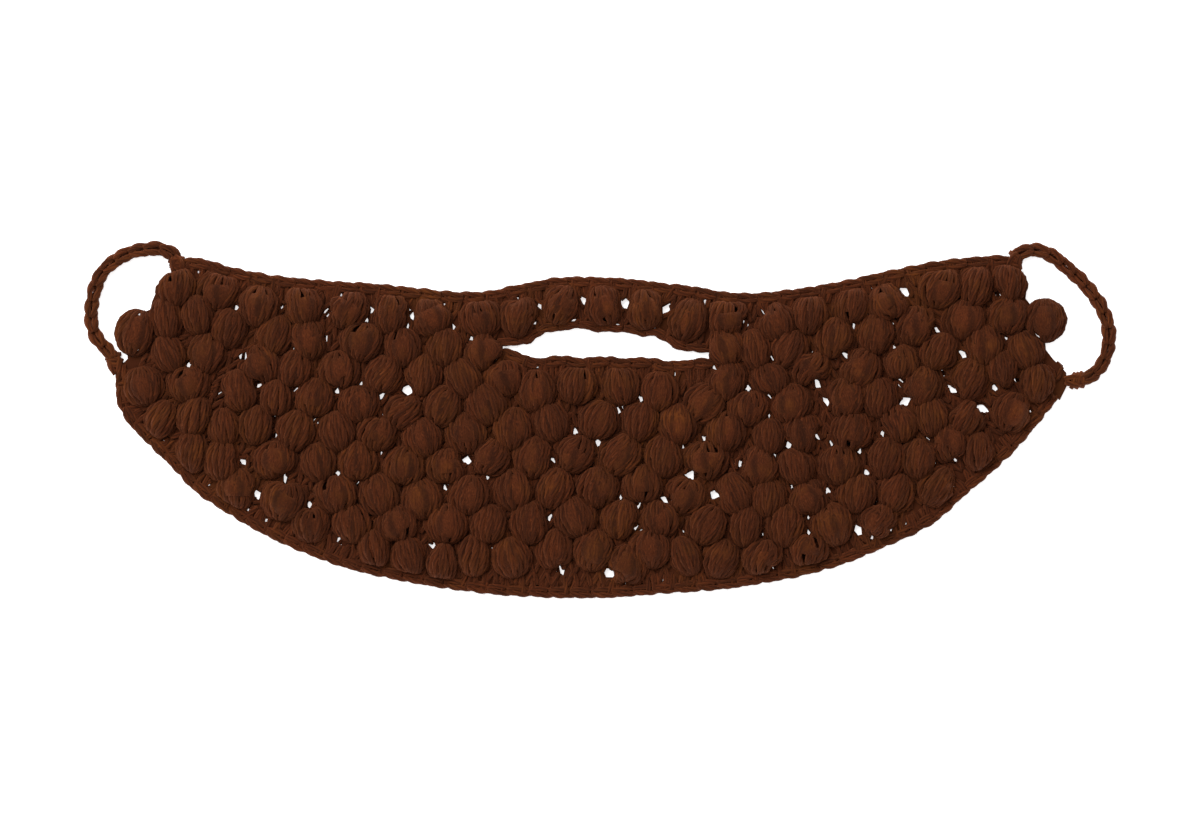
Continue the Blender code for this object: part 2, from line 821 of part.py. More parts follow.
def edging(name, edge, width, finish):
    """A row of plain stitches on the left of an edge, narrower and lower where two stitches join."""
    count = max(1, round(line_length(edge) / EDGING_STITCH))
    shares = [(i + phase) / count for i in range(count) for phase in STITCH_PHASES] + [1.0]
    mesh = bmesh.new()
    sections = []
    for i, (point, heading) in enumerate(at_shares(edge, shares)):
        joint = i % len(STITCH_PHASES) == 0 and 0 < i < len(shares) - 1
        outer = JOINT_DIP * width if joint else 0.0
        inner = width - JOINT_GAP * width if joint else width
        height = EDGING_HEIGHT * (1.0 - JOINT_DROP) if joint else EDGING_HEIGHT
        left = Vector((-heading.y, heading.x))
        profile = (
            (outer + STITCH_FOOT * width, 0.0),
            (inner - STITCH_FOOT * width, 0.0),
            (inner, STITCH_WAIST * height),
            (inner - STITCH_SHOULDER * width, height),
            (outer + STITCH_SHOULDER * width, height),
            (outer, STITCH_WAIST * height),
        )
        places = [(point + left * reach, z) for reach, z in profile]
        sections.append([mesh.verts.new((p.x, p.y, z)) for p, z in places])
    for before, after in zip(sections, sections[1:]):
        for i in range(len(before)):
            mesh.faces.new((before[i - 1], before[i], after[i], after[i - 1]))
    mesh.faces.new(sections[0])
    mesh.faces.new(sections[-1])
    return finished(name, mesh, finish)


def side_bobble(name, finish):
    """A single round bobble: flat below, widest low down, domed above."""
    across, up, _, _ = SIDE_BOBBLES[name]
    centre = on_face(across, up)
    mesh = bmesh.new()
    rings = []
    for width, height in SIDE_BOBBLE_LEVELS:
        points = [centre + (p - centre) * width for p in side_ring(name)]
        rings.append([mesh.verts.new((p.x, p.y, height * BOBBLE_HEIGHT)) for p in points])
    for before, after in zip(rings, rings[1:]):
        for i in range(len(before)):
            mesh.faces.new((before[i - 1], before[i], after[i], after[i - 1]))
    mesh.faces.new(rings[0])
    top = mesh.verts.new((centre.x, centre.y, BOBBLE_HEIGHT))
    for i in range(len(rings[-1])):
        mesh.faces.new((rings[-1][i - 1], rings[-1][i], top))
    return finished(name, mesh, finish)


def ear_loop(name, finish):
    """A chain cord that lies on the surface, from the top corner round to the jaw."""
    line = smooth_line([on_face(*row) for row in EAR_LOOPS[name]])
    points = evenly(line, LOOP_CORD)
    curve = bpy.data.curves.new(name, "CURVE")
    curve.dimensions = "3D"
    curve.bevel_depth = LOOP_CORD / 2
    curve.bevel_resolution = LOOP_SIDES // 2 - 2
    curve.use_fill_caps = True
    spline = curve.splines.new("POLY")
    spline.points.add(len(points) - 1)
    for target, point in zip(spline.points, points):
        target.co = (point.x, point.y, LOOP_CORD / 2, 1.0)
    curve.materials.append(finish)
    made = bpy.data.objects.new(name, curve)
    bpy.context.scene.collection.objects.link(made)
    return made


def centre_on_origin(cloth, cords):
    """Moves everything so that the origin is under the middle of the beard without its cords."""
    corners = [obj.matrix_world @ Vector(corner) for obj in cloth for corner in obj.bound_box]
    middle_x = (min(c.x for c in corners) + max(c.x for c in corners)) / 2
    middle_y = (min(c.y for c in corners) + max(c.y for c in corners)) / 2
    for obj in [*cloth, *cords]:
        obj.location = (-middle_x, -middle_y, 0.0)


def main():
    for obj in list(bpy.data.objects):
        bpy.data.objects.remove(obj, do_unlink=True)
    yarn = material("bobble_yarn", YARN)
    edging_yarn = material("edging_yarn", EDGING_YARN)
    cord_yarn = material("cord_yarn", CORD_YARN)

    panel = panel_ring()
    centres = settled(filled(panel_bobbles(panel), panel), panel)
    corners, creases = joins(centres)
    gaps = panel_gaps(corners, panel)
    cloth = [fabric("bobble_panel", panel, centres, corners + creases, gaps, yarn)]

    band = moustache_ring()
    row = moustache_bobbles(band)
    cloth.append(fabric("moustache", band, row, [], moustache_gaps(row), yarn))

    cloth.append(edging("top_edging", list(reversed(top_edge())), EDGING_WIDTH, edging_yarn))
    cloth.append(edging("bottom_edging", bottom_edge(), EDGING_WIDTH, edging_yarn))
    cloth.append(edging("upper_lip_edging", upper_lip(), LIP_STRAND_WIDTH, edging_yarn))
    cloth.append(edging("lower_lip_edging", list(reversed(lower_lip())), EDGING_WIDTH, edging_yarn))
    cloth += [side_bobble(name, yarn) for name in SIDE_BOBBLES]
    cords = [ear_loop(name, cord_yarn) for name in EAR_LOOPS]

    bpy.context.view_layer.update()
    centre_on_origin(cloth, cords)


main()
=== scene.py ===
"""Crocheted bobble beard with two ear loops, lying on a pale floor and seen from straight above.

The yarn is modelled strand by strand around the frame's solids: plied strands gathered into bobbles, chain
stitches along every edge, chain cords for the ear loops, plain stitches on both sides of the cloth, and loose
fibres. Metres, +Z up.
"""

import math

import bpy
import numpy as np
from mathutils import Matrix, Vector
from mathutils.geometry import delaunay_2d_cdt


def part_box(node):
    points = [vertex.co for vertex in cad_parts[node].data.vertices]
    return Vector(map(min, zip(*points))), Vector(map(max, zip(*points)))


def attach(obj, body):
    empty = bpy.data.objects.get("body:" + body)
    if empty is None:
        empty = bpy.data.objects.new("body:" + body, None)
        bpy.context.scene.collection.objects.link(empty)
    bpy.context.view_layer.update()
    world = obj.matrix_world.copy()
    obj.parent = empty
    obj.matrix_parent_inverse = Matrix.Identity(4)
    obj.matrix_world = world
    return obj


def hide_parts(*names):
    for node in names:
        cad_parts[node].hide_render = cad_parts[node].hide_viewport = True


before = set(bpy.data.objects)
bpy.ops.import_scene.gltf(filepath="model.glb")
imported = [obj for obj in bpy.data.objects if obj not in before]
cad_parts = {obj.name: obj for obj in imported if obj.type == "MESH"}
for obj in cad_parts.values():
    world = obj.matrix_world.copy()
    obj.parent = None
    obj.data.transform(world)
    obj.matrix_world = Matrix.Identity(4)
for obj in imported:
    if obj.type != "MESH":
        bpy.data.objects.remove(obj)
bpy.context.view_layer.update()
rng = np.random.default_rng(11)

# The photo's view, straight down
PHOTO_WIDTH_PX = 1200
METRES_PER_PX = 0.00031
VIEW_CENTRE = (0.0024, 0.0020)
CAMERA_HEIGHT = 1.2
SENSOR_WIDTH = 36.0

# Sizes that the frame was made from
FACE_WIDTH = 0.2945
BEARD_HEIGHT = 0.0995
GROUND_THICKNESS = 0.0034
ROW_PITCH = 0.0097
LOOP_CORD = 0.0048

# Yarn radii
BOBBLE_YARN = 0.00112
EDGE_YARN = 0.00102
LIP_YARN = 0.00085
LOOP_YARN = 0.00115
BACK_YARN = 0.00085
FRONT_YARN = 0.00095
FIBRE = 0.000032

# Plies of the yarn
PLIES = 4
PLY_VALLEY = 0.76
PLY_TURN = 0.018

# Bobbles
STRANDS_PER_BOBBLE = 9
BOBBLE_STEPS = 12
NARROW_BOBBLE = 0.0108
USUAL_BOBBLE = 0.0125
WIDE_BOBBLE = 0.0145
BOBBLE_HALF_ALONG = 0.0066
BOBBLE_FOOT = 0.0024
BOBBLE_TOP = 0.0100
FAN = math.radians(79)
BORDER_OVERHANG = 0.0003
SIDE_OVERHANG = 0.0003

# Gaps: the half widths of a small and a wide one, and the share of each that shows
SMALL_GAP = 0.0007
WIDE_GAP = 0.0015
SMALL_GAP_SHOWN = 0.45
WIDE_GAP_SHOWN = 0.85
SPECK = 0.00055
DENT_WIDTH = 0.5
HIDDEN = 0.0044

# Chains
CHAIN_PITCH = 0.0047
CHAIN_STEPS = 10
CHAIN_WAIST = 0.35
TIE_STRANDS = 3
LOOP_OVERREACH = 0.0013
TIE_SPACING = 0.0014

# Ground cloth and its rows of stitches
CLOTH_LOW = 0.0011
CLOTH_HIGH = 0.0025
CLOTH_INSET = 0.0009
CLOTH_REACH = 0.0009
CLOTH_GRID = 0.004
NEIGHBOUR_GAP = 0.0021
FRONT_STITCH = 0.0041
FRONT_LOW = 0.0019
BACK_ROW = 0.0047
BACK_STITCH = 0.0052

# Fabrics and what lies against them, the reach of their bobbles over it, and where the panel's thirds part
FABRICS = {
    "bobble_panel": (
        "top_edging",
        "bottom_edging",
        "lower_lip_edging",
        "moustache",
        "side_bobble_left",
        "side_bobble_right",
    ),
    "moustache": ("top_edging", "upper_lip_edging", "bobble_panel"),
}
BOBBLE_REACH = 0.0008
MOUSTACHE_REACH = 0.0014
MOUSTACHE_HALF_ACROSS = 0.0066
THIRD = 0.048

# Edges
EDGES = (
    # node, outward, half width, strand, reach of the posts, posts to a stitch
    ("top_edging", 1, 0.0020, EDGE_YARN, 0.0050, 4),
    ("bottom_edging", -1, 0.0020, EDGE_YARN, 0.0050, 4),
    ("upper_lip_edging", -1, 0.0016, LIP_YARN, 0.0034, 2),
    ("lower_lip_edging", 1, 0.0020, EDGE_YARN, 0.0085, 4),
)
POST_HEIGHT = 0.0023
SPECK_OFFSET = 0.0025
SPECK_ROWS = {
    # node: outward, share of its stitches
    "top_edging": (1, 0.30),
    "bottom_edging": (-1, 0.45),
}
MOUTH_SPECKS = (
    # across, up, half width and half length in millimetres, degrees of lean to the left
    (-0.0571, 0.8580, 0.45, 0.80, -70),
    (-0.0171, 0.8650, 0.55, 1.40, -65),
    (0.0293, 0.8520, 0.60, 1.60, -70),
    (0.0682, 0.8400, 0.50, 1.00, -80),
    (-0.1023, 0.8707, 0.40, 1.60, 42),
    (-0.1002, 0.8084, 0.55, 1.20, 55),
    (-0.0992, 0.7399, 0.45, 1.70, 30),
    (0.1209, 0.9268, 0.45, 1.10, -10),
    (0.1303, 0.8645, 0.65, 1.20, 15),
    (0.1303, 0.7991, 0.70, 1.40, 35),
    (0.1314, 0.7212, 0.85, 1.50, 25),
    (0.0892, 0.7040, 0.70, 1.40, 12),
    (-0.0540, 0.7270, 0.35, 0.50, 0),
)

# Loose fibres: how many to a metre of strand, and the longest
BOBBLE_FIBRES = (190, 0.0022)
EDGE_FIBRES = (420, 0.0026)

# Ear loop routes, in the frame's shares of the face's width and the beard's height
EAR_LOOPS = {
    "ear_loop_left": (
        # across, up
        (-0.4337, 1.0215),
        (-0.4337, 1.0436),
        (-0.4389, 1.0717),
        (-0.4526, 1.0888),
        (-0.4716, 1.0857),
        (-0.4874, 1.0717),
        (-0.5000, 1.0498),
        (-0.5105, 1.0234),
        (-0.5174, 0.9875),
        (-0.5216, 0.9439),
        (-0.5237, 0.9003),
        (-0.5237, 0.8598),
        (-0.5203, 0.8240),
        (-0.5145, 0.7980),
        (-0.5065, 0.7735),
        (-0.5005, 0.7492),
        (-0.4985, 0.7220),
    ),
    "ear_loop_right": (
        # across, up
        (0.4453, 1.0280),
        (0.4458, 1.0561),
        (0.4526, 1.0779),
        (0.4653, 1.0857),
        (0.4789, 1.0763),
        (0.4916, 1.0530),
        (0.5011, 1.0280),
        (0.5116, 1.0016),
        (0.5221, 0.9688),
        (0.5316, 0.9315),
        (0.5389, 0.8941),
        (0.5437, 0.8536),
        (0.5447, 0.8037),
        (0.5416, 0.7570),
        (0.5358, 0.7227),
        (0.5253, 0.6931),
        (0.5147, 0.6807),
        (0.5052, 0.6791),
    ),
}


# Lines and rings


def smooth_line(points, steps=8):
    """A Catmull-Rom curve through the points, as a fine polyline."""
    points = np.asarray(points, float)
    ends = np.vstack([2 * points[0] - points[1], points, 2 * points[-1] - points[-2]])
    line = []
    for before, start, end, after in zip(ends, ends[1:], ends[2:], ends[3:]):
        for t in np.arange(steps) / steps:
            bend = 2 * before - 5 * start + 4 * end - after
            twist = 3 * start - before - 3 * end + after
            line.append(0.5 * (2 * start + (end - before) * t + bend * t**2 + twist * t**3))
    return np.array([*line, points[-1]])


def lengths_along(line):
    """The distance from the line's start to each of its points."""
    return np.concatenate([[0], np.cumsum(np.linalg.norm(np.diff(line, axis=0), axis=1))])


def on_line(line, distances):
    """The places at these distances along a flat line and the directions there, straight on past its ends."""
    passed = lengths_along(line)
    headings = np.diff(line, axis=0) / np.diff(passed)[:, None]
    wanted = np.asarray(distances, float)
    piece = np.clip(np.searchsorted(passed, wanted, side="right") - 1, 0, len(line) - 2)
    places = line[piece] + headings[piece] * (wanted - passed[piece])[..., None]
    middles = (passed[1:] + passed[:-1]) / 2
    turned = np.stack([np.interp(wanted, middles, heading) for heading in headings.T], axis=-1)
    return places, turned / np.linalg.norm(turned, axis=-1, keepdims=True)


def beside_line(line, distances, sideways, heights):
    """Points at these distances along a line, moved to its left by sideways, at these heights."""
    places, headings = on_line(line, distances)
    left = np.stack([-headings[..., 1], headings[..., 0]], axis=-1)
    flat = places + left * np.asarray(sideways)[..., None]
    return np.concatenate([flat, np.broadcast_to(heights, flat.shape[:-1])[..., None]], axis=-1)


def depth_in(points, ring):
    """How far inside the closed ring each point lies, or a negative number outside it."""
    points = np.asarray(points, float)
    side = np.roll(ring, -1, axis=0) - ring
    from_start = points[..., None, :] - ring
    share = np.clip((from_start * side).sum(-1) / np.maximum((side**2).sum(-1), 1e-14), 0, 1)
    nearest = np.linalg.norm(from_start - share[..., None] * side, axis=-1).min(-1)
    x, y = points[..., 0:1], points[..., 1:2]
    spans = (ring[:, 1] > y) != ((ring + side)[:, 1] > y)
    rise = np.where(side[:, 1] == 0, 1e-14, side[:, 1])
    crossed = spans & (x < ring[:, 0] + side[:, 0] * (y - ring[:, 1]) / rise)
    return np.where(crossed.sum(-1) % 2 == 1, nearest, -nearest)


def unit(vectors):
    return vectors / np.maximum(np.linalg.norm(vectors, axis=-1, keepdims=True), 1e-12)


# What the frame's solids say


def node_mesh(name):
    """A node's points, with those at one place merged, and its triangles."""
    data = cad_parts[name].data
    data.calc_loop_triangles()
    points = np.empty(len(data.vertices) * 3, np.float32)
    data.vertices.foreach_get("co", points)
    faces = np.empty(len(data.loop_triangles) * 3, np.int32)
    data.loop_triangles.foreach_get("vertices", faces)
    points, index = np.unique(points.reshape(-1, 3).round(6), axis=0, return_inverse=True)
    return points.astype(float), index.reshape(-1)[faces].reshape(-1, 3)


def foot_rings(name):
    """The closed outlines of a node's flat underside, the longest first, as arrays of x and y."""
    points, faces = node_mesh(name)
    flat = faces[(points[faces][:, :, 2] < 1e-5).all(1)]
    sides = {(int(a), int(b)) for face in flat for a, b in zip(face, np.roll(face, -1))}
    follow = {a: b for a, b in sides if (b, a) not in sides}
    rings = []
    while follow:
        corner = min(follow)
        ring = []
        while corner in follow:
            ring.append(points[corner, :2])
            corner = follow.pop(corner)
        rings.append(np.array(ring))
    return sorted(rings, key=lambda ring: -lengths_along(ring)[-1])


def bobble_middles(name):
    """The tops of a fabric node's domes: points higher than all their neighbours, away from its rims."""
    points, faces = node_mesh(name)
    highest = np.zeros(len(points))
    for a in range(3):
        for b in range(3):
            if a != b:
                np.maximum.at(highest, faces[:, a], points[faces[:, b], 2])
    feet = {tuple(p) for p in points[points[:, 2] < 1e-5, :2].round(5)}
    peaks = points[(points[:, 2] > highest) & (points[:, 2] > 1.3 * GROUND_THICKNESS)]
    return np.array([p for p in peaks if tuple(p[:2].round(5)) not in feet])


def edging_row(name, outward):
    """The middle line of an edging node, its outer side on the left, its count of stitches and its height."""
    ring = foot_rings(name)[0]
    half = len(ring) // 2
    across = [
        np.linalg.norm(turned[:half] - turned[half:][::-1], axis=1).sum()
        for turned in (np.roll(ring, -k, axis=0) for k in range(half))
    ]
    ring = np.roll(ring, -int(np.argmin(across)), axis=0)
    first, second = ring[:half], ring[half:][::-1]
    if first[:, 1].mean() * outward < second[:, 1].mean() * outward:
        first, second = second[::-1], first[::-1]
    plain = [i for i in range(half) if i % 3 or i in (0, half - 1)]
    _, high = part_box(name)
    return (first[plain] + second[plain]) / 2, (half - 1) // 3, high[2]


# Yarn


class Yarn:
    """Strands of plied yarn for one piece: tubes with a fibre direction and a tint of their own."""

    def __init__(self, sides=2 * PLIES, valley=PLY_VALLEY, turn=PLY_TURN):
        self.sides = sides
        self.valley = valley
        self.turn = turn
        self.groups = []

    def add(self, lines, radii):
        """Strands of one number of points: lines is (strands, points, 3), radii fits (strands, points)."""
        lines = np.asarray(lines, float)
        if len(lines):
            self.groups.append((lines, np.broadcast_to(radii, lines.shape[:2]).astype(float)))

    def rings(self, lines, radii):
        """The tubes' points, (strands, points, sides, 3), and each one's fibre vector and tint."""
        tangents = unit(np.gradient(lines, axis=1))
        steep = np.abs(tangents[:, :1, 2:3]) > 0.9
        normal = np.where(steep, [1.0, 0.0, 0.0], [0.0, 0.0, 1.0])[:, 0]
        normals = []
        for tangent in np.moveaxis(tangents, 1, 0):
            normal = unit(normal - (normal * tangent).sum(-1, keepdims=True) * tangent)
            normals.append(normal)
        normals = np.stack(normals, axis=1)
        binormals = np.cross(tangents, normals)
        passed = np.linalg.norm(np.diff(lines, axis=1), axis=-1).cumsum(1)
        passed = np.concatenate([np.zeros((len(lines), 1)), passed], axis=1)
        start = rng.uniform(0, 2 * math.pi, (len(lines), 1, 1))
        around = 2 * math.pi * np.arange(self.sides) / self.sides
        angle = around + start + 2 * math.pi * passed[..., None] / self.turn
        ply = np.where(np.arange(self.sides) % 2 == 0, 1.0, self.valley)
        reach = radii[..., None] * ply
        ring = lines[:, :, None] + (reach * np.cos(angle))[..., None] * normals[:, :, None]
        ring += (reach * np.sin(angle))[..., None] * binormals[:, :, None]
        offset = rng.uniform(0, 1, (len(lines), 1, 1))
        fibre = np.stack(
            [
                radii[..., None] * np.cos(around) + 0 * angle,
                radii[..., None] * np.sin(around) + 0 * angle,
                passed[..., None] + offset + 0 * angle,
            ],
            axis=-1,
        )
        tint = np.broadcast_to(rng.uniform(0, 1, (len(lines), 1, 1)), angle.shape)
        return ring, fibre, tint

    def object(self, name, finish):
        """One mesh of all the strands, closed at their ends."""
        points, fibres, tints, loops, starts = [], [], [], [], []
        base = 0
        corners = 0
        for lines, radii in self.groups:
            ring, fibre, tint = self.rings(lines, radii)
            strands, steps, sides = ring.shape[:3]
            index = base + np.arange(strands * steps * sides).reshape(strands, steps, sides)
            beside = np.roll(index, -1, axis=2)
            quads = np.stack([index[:, :-1], beside[:, :-1], beside[:, 1:], index[:, 1:]], axis=-1)
            caps = np.concatenate([index[:, 0, ::-1], index[:, -1]])
            for faces in (quads.reshape(-1, 4), caps):
                loops.append(faces.ravel())
                starts.append(corners + faces.shape[1] * np.arange(len(faces)))
                corners += faces.size
            points.append(ring.reshape(-1, 3))
            fibres.append(fibre.reshape(-1, 3))
            tints.append(tint.ravel())
            base += index.size
        mesh = new_mesh(name, np.concatenate(points), np.concatenate(loops), np.concatenate(starts))
        vector = mesh.attributes.new("fibre", "FLOAT_VECTOR", "POINT")
        vector.data.foreach_set("vector", np.concatenate(fibres).ravel().astype(np.float32))
        value = mesh.attributes.new("tint", "FLOAT", "POINT")
        value.data.foreach_set("value", np.concatenate(tints).astype(np.float32))
        return shown(name, mesh, finish)


def new_mesh(name, points, loops, starts):
    mesh = bpy.data.meshes.new(name)
    mesh.vertices.add(len(points))
    mesh.vertices.foreach_set("co", points.ravel().astype(np.float32))
    mesh.loops.add(len(loops))
    mesh.loops.foreach_set("vertex_index", loops.astype(np.int32))
    mesh.polygons.add(len(starts))
    mesh.polygons.foreach_set("loop_start", starts.astype(np.int32))
    mesh.update(calc_edges=True)
    mesh.validate()
    mesh.shade_smooth()
    return mesh


def shown(name, mesh, finish):
    mesh.materials.append(finish)
    made = bpy.data.objects.new(name, mesh)
    bpy.context.scene.collection.objects.link(made)
    return made


# Bobbles


class Gaps:
    """The openings of one fabric, as middles, two half axes each and their directions."""

    def __init__(self, rings):
        self.rings = rings
        self.middles = np.array([ring.mean(axis=0) for ring in self.rings])
        if not self.rings:
            return
        halves = np.array([ring - ring.mean(axis=0) for ring in self.rings])
        lengths = np.linalg.norm(halves, axis=-1)
        pick = np.arange(len(halves))
        self.long = halves[pick, lengths.argmax(axis=1)]
        self.short = halves[pick, lengths.argmin(axis=1)]
        size = lengths.min(axis=1)
        self.shown = np.interp(size, (SMALL_GAP, WIDE_GAP), (SMALL_GAP_SHOWN, WIDE_GAP_SHOWN))

    def beside(self, middle):
        """The openings again, without those that lie hidden under a bobble."""
        return Gaps([ring for ring in self.rings if np.linalg.norm(ring.mean(axis=0) - middle[:2]) > HIDDEN])

    def dented(self, points, radius, middle, half_across, half_along):
        """The points drawn in towards a bobble's middle beside each near gap, over a soft width."""
        offset = points[..., :2] - middle[:2]
        heading = np.arctan2(offset[..., 1], offset[..., 0])
        share = np.ones(heading.shape)
        for gap, long, short, shown_share in zip(self.middles, self.long, self.short, self.shown):
            way = gap - middle[:2]
            apart = np.linalg.norm(way)
            if apart > 2 * half_across:
                continue
            way = way / apart
            limit = apart - shown_share * math.hypot(long @ way, short @ way) - radius
            rim = 1 / math.hypot(way[0] / half_across, way[1] / half_along) - radius
            if limit >= rim:
                continue
            turn = np.angle(np.exp(1j * (heading - math.atan2(way[1], way[0]))))
            share = np.minimum(share, 1 - (1 - max(limit / rim, 0.35)) * np.exp(-((turn / DENT_WIDTH) ** 2)))
        return np.concatenate([middle[:2] + offset * share[..., None], points[..., 2:]], axis=-1)

    def clear(self, points, radius, away):
        """The points moved along away, out of every gap with room for a strand of this radius round it."""
        flat = points[..., :2].copy()
        uneven = rng.uniform(0.70, 1.10, (len(points), *[1] * (points.ndim - 1)))
        uneven = np.broadcast_to(uneven, (*points.shape[:-1], 1))[..., 0]
        for middle, long, short, shown_share in zip(self.middles, self.long, self.short, self.shown):
            axes = np.stack([long, short])
            sizes = np.linalg.norm(axes, axis=1)
            scale = (axes / sizes[:, None]) / (sizes * shown_share + radius)[:, None]
            near = np.linalg.norm(flat - middle, axis=-1) < sizes.max() + radius
            if not near.any():
                continue
            heading = unit(np.broadcast_to(away(middle), flat.shape))[near]
            start = (flat[near] - middle) @ scale.T
            step = heading @ scale.T
            a = (step**2).sum(-1)
            b = (start * step).sum(-1)
            c = (start**2).sum(-1) - uneven[near] ** 2
            inside = c < 0
            far = (-b + np.sqrt(np.maximum(b**2 - a * c, 0))) / a
            flat[near] += np.where(inside, far, 0)[:, None] * heading
        return np.concatenate([flat, points[..., 2:]], axis=-1)


def half_widths(middles):
    """Half of each bobble's width: as wide as its neighbours in the row allow."""
    apart = middles[None, :, :2] - middles[:, None, :2]
    same_row = np.abs(apart[..., 1]) < 0.45 * ROW_PITCH
    found = []
    for i in range(len(middles)):
        sides = [apart[i, same_row[i] & (apart[i, :, 0] * way > 1e-6), 0] for way in (1, -1)]
        spans = [np.abs(side).min() for side in sides if len(side)]
        wide = np.mean(spans) if spans else USUAL_BOBBLE
        found.append(0.5 * min(max(wide, NARROW_BOBBLE), WIDE_BOBBLE))
    return np.array(found)


def add_bobble(yarn, core, middle, half_across, half_along, top, gaps=None, outline=None):
    """One bobble: strands that run from its foot over its top like meridians, round a plain core."""
    gaps = gaps.beside(middle) if gaps is not None else None
    lean = rng.normal(0, math.radians(13))
    half_across = half_across * rng.uniform(0.97, 1.05) + 0.0002
    half_along = half_along * rng.uniform(0.95, 1.05)
    top = top + rng.uniform(-0.0006, 0.0006)
    fan = np.linspace(-FAN, FAN, STRANDS_PER_BOBBLE)[:, None]
    fan = fan + rng.normal(0, math.radians(3.5), fan.shape)
    rise = np.linspace(-math.radians(84), math.radians(84), BOBBLE_STEPS + 1)[None]
    swirl = rng.normal(0, math.radians(12))
    wander = rng.normal(0, math.radians(4), fan.shape) * np.sin(2 * rise)
    turned = fan + swirl * np.sin(rise) + wander
    lift = rng.uniform(-0.0004, 0.0003, fan.shape)
    across = (half_across - BOBBLE_YARN + lift) * np.cos(rise) * np.sin(turned)
    height = (top - BOBBLE_FOOT - BOBBLE_YARN + lift) * np.cos(rise) * np.cos(turned)
    height = np.maximum(height, BOBBLE_YARN - BOBBLE_FOOT)
    along = (half_along - 0.4 * BOBBLE_YARN) * np.sin(rise) + 0 * turned
    flat = np.stack([across, along], axis=-1) @ turning(lean).T + middle[:2]
    lines = np.concatenate([flat, (BOBBLE_FOOT + height)[..., None]], axis=-1)
    radii = BOBBLE_YARN * (0.55 + 0.45 * np.cos(rise)) * rng.uniform(0.92, 1.06, fan.shape)
    if gaps is not None and len(gaps.rings):
        lines = gaps.dented(lines, BOBBLE_YARN, middle, half_across, half_along)
    lines = kept_clear(lines, BOBBLE_YARN, middle, gaps, outline)
    yarn.add(lines, radii)
    add_core(core, middle, half_across, half_along, top, lean, gaps, outline)


def kept_clear(lines, radius, middle, gaps, outline):
    """The strands moved towards their bobble's middle, out of the gaps and back inside the outline."""
    if gaps is not None and len(gaps.rings):
        lines = gaps.clear(lines, radius, lambda gap: middle[:2] - gap)
    if outline is not None:
        over = np.maximum(radius - BORDER_OVERHANG - depth_in(lines[..., :2], outline), 0)
        back = middle[:2] - lines[..., :2]
        reach = np.linalg.norm(back, axis=-1)
        lines[..., :2] += back * (np.minimum(over, 0.8 * reach) / np.maximum(reach, 1e-9))[..., None]
    return lines


def turning(angle):
    return np.array([[math.cos(angle), -math.sin(angle)], [math.sin(angle), math.cos(angle)]])


def add_core(core, middle, half_across, half_along, top, lean, gaps, outline):
    """The inside of a bobble, which closes the slits between its strands."""
    inner = 1.5 * BOBBLE_YARN
    rise = np.linspace(-math.radians(80), math.radians(80), 7)
    line = np.stack([0 * rise, (half_along - inner) * np.sin(rise)], axis=-1) @ turning(lean).T + middle[:2]
    centre_height = 0.5 * (BOBBLE_FOOT + top - inner)
    line = np.concatenate([line, np.full((7, 1), centre_height)], axis=-1)[None]
    line = kept_clear(line, 0.5 * half_across, middle, gaps, outline)
    core.add(line, np.maximum((half_across - inner) * np.cos(rise) * 0.86, 0.0006)[None])


# Chains and edges


def beside_gaps(points, line, strand, gaps):
    """A chain's strands moved back towards its middle line, out of the gaps beside it."""
    def towards(gap):
        return line[np.linalg.norm(line - gap, axis=1).argmin()] - gap

    return gaps.clear(points, 0.8 * strand, towards)


def add_chain(yarn, line, count, half_width, strand, low, high, gaps=None):
    """A crocheted chain: two arms to each stitch, that open and close again over the next, and a back."""
    pitch = lengths_along(line)[-1] / count
    t = np.linspace(0, 1, CHAIN_STEPS + 1)
    stitch = np.arange(count)[:, None]
    start = (stitch + rng.normal(0, 0.03, stitch.shape)) * pitch
    reach = half_width - strand
    for side in (1, -1):
        distances = start + pitch * (-0.30 + 1.45 * t)
        wide = reach * rng.uniform(0.92, 1.08, stitch.shape)
        sideways = side * wide * (CHAIN_WAIST + (1 - CHAIN_WAIST) * np.sin(math.pi * t) ** 0.75)
        mid = 0.5 * (low + high)
        heights = mid + (0.5 * (high - low) - strand) * np.sin(math.pi * (1.15 * t - 0.38)) + 0 * stitch
        radii = strand * (0.80 + 0.20 * np.sin(math.pi * t)) + 0 * stitch
        points = beside_line(line, distances, sideways, heights)
        yarn.add(points if gaps is None else beside_gaps(points, line, strand, gaps), radii)
    distances = start + pitch * (-0.05 + 1.1 * t)
    sideways = 0.35 * reach * np.sin(math.pi * t) * np.where(stitch % 2, 1, -1)
    heights = low + 0.9 * strand + 0.25 * strand * np.sin(math.pi * t) + 0 * stitch
    points = beside_line(line, distances, sideways, heights)
    yarn.add(points if gaps is None else beside_gaps(points, line, strand, gaps), 0.9 * strand + 0 * sideways)


